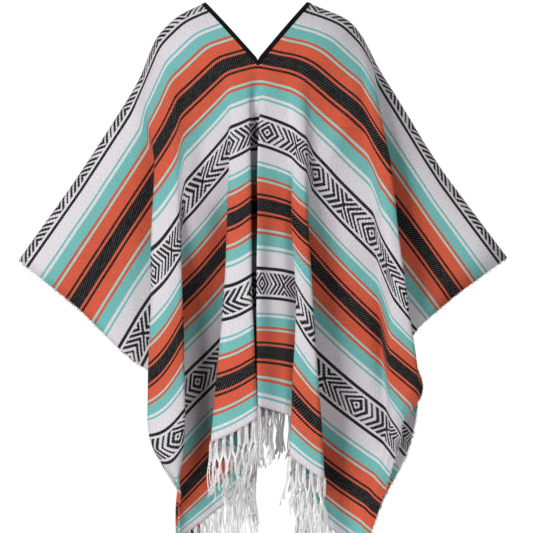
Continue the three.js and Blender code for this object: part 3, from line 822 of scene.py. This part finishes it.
def arm_sections(side):
    """The binding's sections along one side of the slit, from the front tip to the back tip."""
    normals = outward_normals(side)
    sections = []
    for r in np.flatnonzero(np.abs(signed) <= NECK_DEPTH + ROW_TOLERANCE):
        points = at_lengths(grid[side][r], TAPE_SAMPLES)
        inward = unit(at_lengths(grid[side][r], INWARD_LENGTH) - points[-1])
        sections.append(wrap(points, normals[r, NORMAL_COLUMN], inward))
    return sections


def tip_section(facing):
    """The section on the middle line, where both arms meet in the mitre; facing is -1 in front."""
    rows = np.flatnonzero(signed * facing >= NECK_DEPTH - ROW_TOLERANCE)
    downwards = sorted(rows, key=lambda r: abs(signed[r]))
    points = at_lengths(grid["left"][downwards, 0], np.array(TAPE_SAMPLES) * MITRE)
    return wrap(points, unit(np.array([0, facing, TIP_SLOPE])), np.array([0, 0, -1.0]))


def ribbon(name, sections):
    """A closed ribbon through sections of equal point count, with its own flat map."""
    ids = np.arange(len(sections) * len(sections[0])).reshape(len(sections), -1)
    obj = mesh_object(name, np.concatenate(sections), quads_of(np.vstack([ids, ids[:1]])))
    along = lengths_along(np.array([s[len(s) // 2] for s in sections]))
    add_cloth_map(obj, [(w, length) for s, length in zip(sections, along) for w in lengths_along(s)])
    return obj


sections = [tip_section(-1), *arm_sections("left"), tip_section(1), *arm_sections("right")[::-1]]
neck_tape = thickened(ribbon("neck_tape_binding", sections), TAPE_THICKNESS)
print("tape:", len(sections), "sections")

# %% Tape material
TAPE_BLACK = (0.007, 0.007, 0.008)
black_tape, tree, shader = new_material("black_neck_tape")
across, along = cloth_measures(tree)
threads = lay_threads(along, across, warp_spacing=0.9, weft_spacing=1.3, unevenness=0.5)
finish_threads(shader, threads, TAPE_BLACK, roughness=(0.15, 0.68), relief=0.0003, values={
    "Sheen Weight": 0.03, "Specular IOR Level": 0.2,
})
neck_tape.data.materials.append(black_tape)

# %% [markdown]
# ## Geometry Nodes helpers
# Stitches, knots, yarns and edge loops repeat hundreds of times, so Geometry Nodes make them. A tree
# is built once, with named inputs; each use is a modifier with its own values. An input is set by its
# socket's identifier, which the interface knows.

# %% Geometry Nodes helpers
def geometry_tree(name, inputs, fill):
    """A Geometry Nodes tree: geometry in and out, and its named inputs."""
    geometry = {"Geometry": "Geometry"}
    return new_group(name, "GeometryNodeTree", {**geometry, **inputs}, geometry, fill)


def spaced_curve(tree, source):
    """The input's lines as curves, with points at even steps."""
    curve = add_node(tree, "GeometryNodeMeshToCurve", {0: source["Geometry"]})
    steps = {0: curve, "Length": source["Spacing"]}
    return add_node(tree, "GeometryNodeResampleCurve", steps, mode="LENGTH")


def swept(tree, curve, section):
    """A closed tube along a curve."""
    return add_node(
        tree, "GeometryNodeCurveToMesh", {"Curve": curve, "Profile Curve": section, "Fill Caps": True},
    )


def random_vector(tree, seed, low, high):
    """A different vector for each instance."""
    limits = {"Min": low, "Max": high, "Seed": seed}
    return add_node(tree, "FunctionNodeRandomValue", limits, data_type="FLOAT_VECTOR")


def copies(tree, points, piece, rotation, scale):
    """A copy of a piece on each point."""
    return add_node(tree, "GeometryNodeInstanceOnPoints", {
        "Points": points, "Instance": piece, "Rotation": rotation, "Scale": scale,
    })


def hand_out(tree, source, geometry, result):
    """Instances made real, with the tree's material, as its result."""
    real = add_node(tree, "GeometryNodeRealizeInstances", {0: geometry})
    dressed = {0: real, "Material": source["Material"]}
    set_inputs(result, {0: add_node(tree, "GeometryNodeSetMaterial", dressed)})


def grow(obj, tree, values):
    """Runs a tree on an object with these values, and keeps the result as plain mesh."""
    modifier = obj.modifiers.new(tree.name, "NODES")
    modifier.node_group = tree
    for item in tree.interface.items_tree:
        if item.in_out == "INPUT" and item.name in values:
            modifier[item.identifier] = values[item.name]
    grown = applied(obj)
    count_triangles(grown)
    return grown


def polyline_object(name, lines, attributes=None):
    """Loose edges through lists of points; attributes are name -> values, one a point."""
    points, edges = [], []
    for line in lines:
        first = len(points)
        points.extend(line)
        edges.extend((first + i, first + i + 1) for i in range(len(line) - 1))
    obj = mesh_object(name, points, [], edges)
    for label, values in (attributes or {}).items():
        values = np.asarray(values, np.float32)
        kind, key = ("FLOAT", "value") if values.ndim == 1 else ("FLOAT_VECTOR", "vector")
        obj.data.attributes.new(label, kind, "POINT").data.foreach_set(key, values.ravel())
    return obj


# %% [markdown]
# ## The stitches of the tape
# A lockstitch runs near the free edge of the tape. Outside, its beads stand proud of the tape; inside,
# they lie between tape and cloth. Each stitch is a tiny flattened bead along the line; the tree
# resamples the line at the stitch length and lays a bead on each point, turned along the curve.

# %% Stitches
STITCH_LENGTH = 3.4
STITCH_SIZE = (1.25, 0.4, 0.35)
STITCH_LIFT = 0.1
STITCH_COLUMNS = (1, -2)


def fill_stitch_tree(tree, source, result):
    """Beads along every line of the input mesh."""
    spaced = spaced_curve(tree, source)
    bead = add_node(tree, "GeometryNodeMeshUVSphere", {"Segments": 6, "Rings": 4, "Radius": 1.0})
    tangent = add_node(tree, "GeometryNodeInputTangent")
    turned = add_node(tree, "FunctionNodeAlignEulerToVector", {"Vector": tangent}, axis="X")
    laid = copies(tree, spaced, bead, turned, source["Size"])
    hand_out(tree, source, laid, result)


def stitch_line(sections, place):
    """A closed line along the ribbon at one of its columns, raised outwards."""
    line = np.array([s[place] for s in sections])
    across = unit(np.array([s[0] - s[-1] for s in sections]))
    line = line + across * (TAPE_THICKNESS / 2 + STITCH_LIFT)
    return np.concatenate([line, line[:1]])


stitch_tree = geometry_tree("stitches_along_lines", {
    "Spacing": "Float", "Size": "Vector", "Material": "Material",
}, fill_stitch_tree)
stitch_lines = [stitch_line(sections, place) for place in STITCH_COLUMNS]
tape_stitches = grow(polyline_object("neck_tape_stitches", stitch_lines), stitch_tree, {
    "Spacing": STITCH_LENGTH * MM, "Size": tuple(size * MM for size in STITCH_SIZE), "Material": black_tape,
})

# %% [markdown]
# ## The fringe
# When the blanket leaves the loom its warps are knotted in groups, then half of each group is knotted
# to half of its neighbour a little lower, which makes a net, and the rest hangs free. Hair particles
# would give strands but no knots. Instead each yarn's path is worked out: from its first knot at the
# hem, across to its second knot, and down to its cut end, with a little wander. A tree then turns the
# paths into twisted yarn and puts a knot on each marked point.

# %% Fringe sizes
# Lengths in millimetres: the step from knot to knot, and the yarn above the first knot.
KNOT_STEP = 17.5
HEADING = 8
FRINGE_LENGTH, LENGTH_SPREAD = 104, 5
YARNS_A_KNOT = 4
YARN_RADIUS, KNOT_RADIUS = 1.6, 2.6
YARN_TWIST = 260.0
# Yarns of a knot lie this far apart, start this far above the hem, and gather to a share below it.
YARN_SPREAD, YARN_INSET, GATHERED = 1.4, 1.5, 0.5
FREE_POINTS = 11
# The net: how many neighbours are joined, how far down, and the widest gap it spans, in knot steps.
NET_SHARE = 0.7
NET_DROP, DROP_SPREAD = 48, 8
NET_GAP = 2.4
# Where a cord bends, as a share of its way in x, y and z, and how far that wanders.
CORD_BEND, BEND_SPREAD = (0.15, 0.15, 0.6), 0.7
# Random swing of a tassel and of a yarn in it, and how much of it shows at the cut end; the random
# lean of a yarn in the net and of a free one; and the spread of the phase of its waves.
TASSEL_SWING, YARN_SWING, SWING_AT_END = 3.0, 0.7, 2
NETTED_LEAN, FREE_LEAN = 0.06, 0.04
PHASE_SPREAD = 0.35
# The waves of a free end: their angle from top to end in x and y, and their size and its growth.
WAVES = (7, 6)
WAVE_SIZE, WAVE_GROWTH, WAVE_SHARE = 1.0, 2.2, 0.9
# Size marks of the two knots.
FIRST_KNOT, SECOND_KNOT = 1.0, 1.25

# Tassels of the front hem that are caught up behind the cloth, and are left out.
CAUGHT_UP = [
    # where, from, to (lengths along the hem from its middle, left ones negative)
    ("middle tuck", -30, 38),
    ("beside the right ridge", 108, 176),
]


# %% Yarn paths
def hem_line(row_end):
    """The hem, left selvedge to right, and the way the cloth runs on from it."""
    rows = (0, 1) if row_end == "front" else (-1, -2)
    line, above = (across_middle(grid["left"][row], grid["right"][row]) for row in rows)
    return line, unit(line - above)


def hem_knots(row_end):
    """First knots, evenly spaced along the hem, the way on from each, and their lengths from its middle."""
    line, onward = hem_line(row_end)
    steps = lengths_along(line)
    places = np.arange(KNOT_STEP / 2, steps[-1], KNOT_STEP)
    ways = unit(between(onward, steps, places))
    return between(line, steps, places), ways, places - steps[len(grid["left"][0]) - 1]


def free_end(hang, drop, spread, phase, swing, lean):
    """Points of a yarn's free part, which waves more and more towards its cut end."""
    points = []
    for t in np.arange(1, FREE_POINTS + 1) / FREE_POINTS:
        wave = np.array([math.sin(phase + WAVES[0] * t), math.cos(phase + WAVES[1] * t), 0])
        sideways = spread * GATHERED + swing[0] * t * SWING_AT_END + lean * drop * t
        out = np.array([sideways, swing[1] * t * SWING_AT_END, -drop * t])
        points.append(hang + out + wave * (WAVE_SIZE + WAVE_GROWTH * t) * WAVE_SHARE)
    return points


def fringe_paths(row_end):
    """Yarn paths, and the size of the knot on each of their points."""
    knots, ways, from_middle = hem_knots(row_end)
    first = knots + ways * HEADING
    count = len(knots)
    joined = rng.random(count) < NET_SHARE
    drops = NET_DROP + rng.normal(0, DROP_SPREAD, count)
    hidden = np.zeros(count, bool)
    for _, low, high in CAUGHT_UP:
        hidden |= (row_end == "front") & (low < from_middle) & (from_middle < high)
    tassel_swing = rng.normal(0, TASSEL_SWING, (count + 1, 2))
    tassel_phase = rng.random(count + 1) * math.tau
    lines, marks = [], []
    for i in np.flatnonzero(~hidden):
        for yarn in range(YARNS_A_KNOT):
            partner = i if yarn < YARNS_A_KNOT / 2 else i + 1
            netted = 0 < partner < count and joined[partner]
            if netted:
                gap = np.linalg.norm(first[partner] - first[partner - 1])
                netted = gap < NET_GAP * KNOT_STEP and not hidden[partner - 1:partner + 1].any()
            spread = (yarn - (YARNS_A_KNOT - 1) / 2) * YARN_SPREAD
            hang = first[i] + np.array([spread, 0, 0])
            line = [knots[i] + np.array([spread, 0, YARN_INSET]), hang]
            sizes = [0, FIRST_KNOT if yarn == 1 else 0]
            if netted:
                second = (first[partner - 1] + first[partner]) / 2 + np.array([0, 0, -drops[partner]])
                line.append(hang + (second - hang) * CORD_BEND + rng.normal(0, BEND_SPREAD, 3))
                line.append(second + np.array([spread * GATHERED, 0, 0]))
                sizes += [0, SECOND_KNOT if yarn == 0 else 0]
                hang = second
            lean = rng.normal(0, NETTED_LEAN if netted else FREE_LEAN)
            tassel = partner if netted else i
            drop = hang[2] - (first[i][2] - FRINGE_LENGTH + HEADING + rng.normal(0, LENGTH_SPREAD))
            phase = tassel_phase[tassel] + rng.normal(0, PHASE_SPREAD)
            swing = rng.normal(0, YARN_SWING, 2) + tassel_swing[tassel]
            lines.append(line + free_end(hang, drop, spread, phase, swing, lean))
            marks.extend(sizes + [0] * FREE_POINTS)
    return lines, marks


front_lines, front_marks = fringe_paths("front")
back_lines, back_marks = fringe_paths("back")
print("yarns:", len(front_lines), "front,", len(back_lines), "back")

# %% [markdown]
# The tree sweeps a six-sided section along each path and turns it as it goes, so that every yarn has a
# twist. The knots are small spheres, squashed and turned at random with a fixed seed. Both are realised
# and given the yarn's material at the end.

# %% Yarn tree
KNOT_SQUASH = (1.0, 0.86, 1.15)
KNOT_TURNS = ((-0.5, -0.5, 0), (0.5, 0.5, 6.28))


def fill_yarn_tree(tree, source, result):
    """Twisted yarns along the lines of the input mesh, and knots on its marked points."""
    curve = add_node(tree, "GeometryNodeMeshToCurve", {0: source["Geometry"]})
    position = add_node(tree, "GeometryNodeSplineParameter")
    turn = calc("MULTIPLY", position.outputs["Length"], source["Twist"])
    tilted = add_node(tree, "GeometryNodeSetCurveTilt", {"Curve": curve, "Tilt": turn})
    section = add_node(
        tree, "GeometryNodeCurvePrimitiveCircle", {"Resolution": 6, "Radius": source["Yarn Radius"]},
    )
    size = add_node(tree, "GeometryNodeInputNamedAttribute", {"Name": "knot"}, data_type="FLOAT")
    marked = add_node(
        tree, "FunctionNodeCompare", {0: size, 1: 0.5}, data_type="FLOAT", operation="GREATER_THAN",
    )
    points = add_node(tree, "GeometryNodeMeshToPoints", {0: source["Geometry"], "Selection": marked})
    ball = add_node(tree, "GeometryNodeMeshIcoSphere", {"Radius": 1.0, "Subdivisions": 2})
    turned = random_vector(tree, source["Seed"], *KNOT_TURNS)
    sized = scaled(scaled(KNOT_SQUASH, size), source["Knot Radius"])
    both = add_node(tree, "GeometryNodeJoinGeometry", {0: swept(tree, tilted, section)})
    set_inputs(both, {0: copies(tree, points, ball, turned, sized)})
    hand_out(tree, source, both, result)


yarn_tree = geometry_tree("twisted_yarns_and_knots", {
    "Yarn Radius": "Float", "Twist": "Float", "Knot Radius": "Float", "Seed": "Int", "Material": "Material",
}, fill_yarn_tree)

# %% Yarn material
YARN_WHITE = (0.9, 0.89, 0.9)
cotton_yarn_painted_glow, tree, shader = new_material("cotton_fringe_yarn_painted_glow")
place = add_node(tree, "ShaderNodeTexCoord")
parts = add_node(tree, "ShaderNodeSeparateXYZ", {0: place.outputs["Object"]})
height_mm = calc("MULTIPLY", parts.outputs["Z"], 1 / MM)
side_mm = calc("MULTIPLY", calc("ADD", parts.outputs["X"], parts.outputs["Y"]), 1 / MM)
threads = lay_threads(side_mm, height_mm, warp_spacing=0.5, weft_spacing=1.4, unevenness=0.3)
# The yarn also glows faintly white: painted light that brightens its shaded sides, though it is no lamp.
finish_threads(shader, threads, YARN_WHITE, roughness=(-0.1, 0.9), relief=0.0004, values={
    "Sheen Weight": 0.2, "Subsurface Weight": 0.7, "Subsurface Radius": (1.0, 1.0, 1.0),
    "Subsurface Scale": 0.003, "Emission Color": (1, 1, 1, 1), "Emission Strength": 0.13,
})

# %% Fringes
YARN_VALUES = {
    "Yarn Radius": YARN_RADIUS * MM, "Twist": YARN_TWIST, "Knot Radius": KNOT_RADIUS * MM,
    "Material": cotton_yarn_painted_glow,
}
front_yarns, back_yarns = (
    grow(polyline_object(name, lines, {"knot": marks}), yarn_tree, {**YARN_VALUES, "Seed": seed})
    for name, lines, marks, seed in (
        ("front_fringe_yarns", front_lines, front_marks, 3),
        ("back_fringe_yarns", back_lines, back_marks, 4),
    )
)

# %% [markdown]
# ## The selvedges
# At the sides the weft turns back on itself, and its turns stand out as small uneven loops. They carry
# the colour of their stripe. The tree sets one loop every few millimetres along the selvedge, turned
# outwards by the direction stored on the line, and the pattern's colour is read from the cloth length
# stored beside it.

# %% Loop tree
LOOP_STEP = 4.6
LOOP_REACH = 2.6
LOOP_INSET = 0.4
LOOP_THICKNESS = 0.32
LOOP_SIZES = ((0.35, 0.5, 0.6), (1.35, 1.0, 1.1))
INNER_COLUMN = -4


def fill_loop_tree(tree, source, result):
    """Small loops along the input lines, standing out along the stored direction."""
    spaced = spaced_curve(tree, source)
    bow = add_node(tree, "GeometryNodeCurveArc", {
        "Resolution": 6, "Radius": 1.0, "Start Angle": -math.pi / 2, "Sweep Angle": math.pi,
    })
    section = add_node(tree, "GeometryNodeCurvePrimitiveCircle", {"Resolution": 4, "Radius": LOOP_THICKNESS})
    out = add_node(tree, "GeometryNodeInputNamedAttribute", {"Name": "outward"}, data_type="FLOAT_VECTOR")
    turned = add_node(tree, "FunctionNodeAlignEulerToVector", {"Vector": out}, axis="X")
    tangent = add_node(tree, "GeometryNodeInputTangent")
    settled = add_node(
        tree, "FunctionNodeAlignEulerToVector",
        {"Rotation": turned, "Vector": tangent}, axis="Y", pivot_axis="X",
    )
    size = random_vector(tree, source["Seed"], *LOOP_SIZES)
    sized = scaled(size, source["Reach"])
    laid = copies(tree, spaced, swept(tree, bow, section), settled, sized)
    hand_out(tree, source, laid, result)


loop_tree = geometry_tree("weft_loops", {
    "Spacing": "Float", "Reach": "Float", "Seed": "Int", "Material": "Material",
}, fill_loop_tree)

# %% Loop material
TUFTS = {"Scale": 0.23, "Detail": 1.0}
PALE_SHARE = 0.35
weft_yarn, tree, shader = new_material("weft_loop_yarn")
stored = add_node(tree, "ShaderNodeAttribute", attribute_name="cloth_length")
distance = calc("PINGPONG", calc("ABSOLUTE", stored.outputs["Fac"]), HALF_REPEAT)
figure = calc("LESS_THAN", distance, FIGURE_HALF_HEIGHT)
turns = add_node(tree, "ShaderNodeTexNoise", {"Vector": stored.outputs["Vector"], **TUFTS})
tuft = calc("MULTIPLY", figure, calc("GREATER_THAN", turns, 0.5))
dyed = blend_colour(tuft, stripe_ramp(distance), BLACK)
set_inputs(shader, {
    "Base Color": blend_colour(PALE_SHARE, dyed, WHITE), "Roughness": 0.9, "Sheen Weight": 0.15,
})

# %% Loops
lines, outward, cloth_length = [], [], []
for side in ("left", "right"):
    edge = grid[side][:, -1]
    out = edge - grid[side][:, INNER_COLUMN]
    lines.append(edge - LOOP_INSET * unit(out))
    outward.extend(out)
    cloth_length.extend(signed)
edge_loops = polyline_object("selvedge_loops", lines, {"outward": outward, "cloth_length": cloth_length})
edge_loops = grow(edge_loops, loop_tree, {
    "Spacing": LOOP_STEP * MM, "Reach": LOOP_REACH * MM, "Seed": 11, "Material": weft_yarn,
})

# %% [markdown]
# ## Floor, light and camera
# A plain pale floor lies below the poncho, and all round it is the white of a paper studio. A paper
# wall would hide the poncho from behind, so the white is the world's own: the camera sees it, but the
# light that it sheds on the cloth is weak, or it would fill every fold. The light that draws the folds
# is a large soft one from the front and far to the left. A weaker one softens the right, and another
# lights the back.

# %% Studio
FLOOR_REACH = 1.9 / MM
FLOOR_LEVEL = (cad_low.z - 0.035) / MM
FLOOR_SIDES = 64
WORLD_LIGHT = 0.13
GAMMA = 0.86
LIGHT_TARGET = Vector((0, 0, -0.5))
LIGHTS = [
    # name, place, size, power
    ("window", (-5.4, -6.3, 1.7), 3.0, 615),
    ("fill", (3.2, -4.4, 1.4), 2.2, 95),
    ("from_behind", (2.4, 3.8, 1.4), 2.2, 170),
]

rim = [math.tau * k / FLOOR_SIDES for k in range(FLOOR_SIDES)]
floor = mesh_object(
    "pale_floor",
    [(FLOOR_REACH * math.cos(a), FLOOR_REACH * math.sin(a), FLOOR_LEVEL) for a in rim],
    [tuple(range(FLOOR_SIDES))],
)
floor_white, tree, shader = new_material("pale_floor_paper")
set_inputs(shader, {"Base Color": (0.9, 0.9, 0.9, 1), "Roughness": 0.95})
floor.data.materials.append(floor_white)
for name, place, size, power in LIGHTS:
    data = bpy.data.lights.new(name, "AREA")
    data.size, data.energy = size, power
    light = bpy.data.objects.new(name, data)
    light.location = place
    light.rotation_euler = (LIGHT_TARGET - Vector(place)).to_track_quat("-Z", "Y").to_euler()
    bpy.context.scene.collection.objects.link(light)
world = bpy.data.worlds.new("studio")
world.use_nodes = True
seen = add_node(world.node_tree, "ShaderNodeLightPath").outputs["Is Camera Ray"]
set_inputs(world.node_tree.nodes["Background"], {
    "Color": (1, 1, 1, 1),
    "Strength": calc("MULTIPLY_ADD", seen, 1 - WORLD_LIGHT, WORLD_LIGHT),
})
bpy.context.scene.world = world
bpy.context.scene.view_settings.view_transform = "Standard"
bpy.context.scene.view_settings.gamma = GAMMA

# %% Camera
CAMERA_DISTANCE = 6.0
VIEW_WIDTH = 1.119
VIEW_CENTRE = (0.018, -0.553)
SENSOR_WIDTH = 36
camera_data = bpy.data.cameras.new("camera")
camera_data.sensor_width = SENSOR_WIDTH
camera_data.lens = SENSOR_WIDTH * CAMERA_DISTANCE / VIEW_WIDTH
camera = bpy.data.objects.new("camera", camera_data)
camera.location = (VIEW_CENTRE[0], -CAMERA_DISTANCE, VIEW_CENTRE[1])
camera.rotation_euler = (math.pi / 2, 0, 0)
bpy.context.scene.collection.objects.link(camera)
bpy.context.scene.camera = camera

# %% [markdown]
# ## Joining the frame
# Nothing on a poncho moves on a joint, so every piece rides on the one body. Each piece says which
# plain solids it stands for and which finish it takes. The pieces are the blanket with its fringe,
# tape and loops.

# %% Bodies and slots
PIECES = [
    (blanket, "cloth", ["front_panel", "back_panel"]),
    (neck_tape, "tape", ["neck_tape"]),
    (tape_stitches, "tape", []),
    (front_yarns, "yarn", ["front_fringe"]),
    (back_yarns, "yarn", ["back_fringe"]),
    (edge_loops, "cloth", []),
]
for piece, slot, nodes in PIECES:
    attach(piece, "root")
    if nodes:
        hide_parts(*nodes)
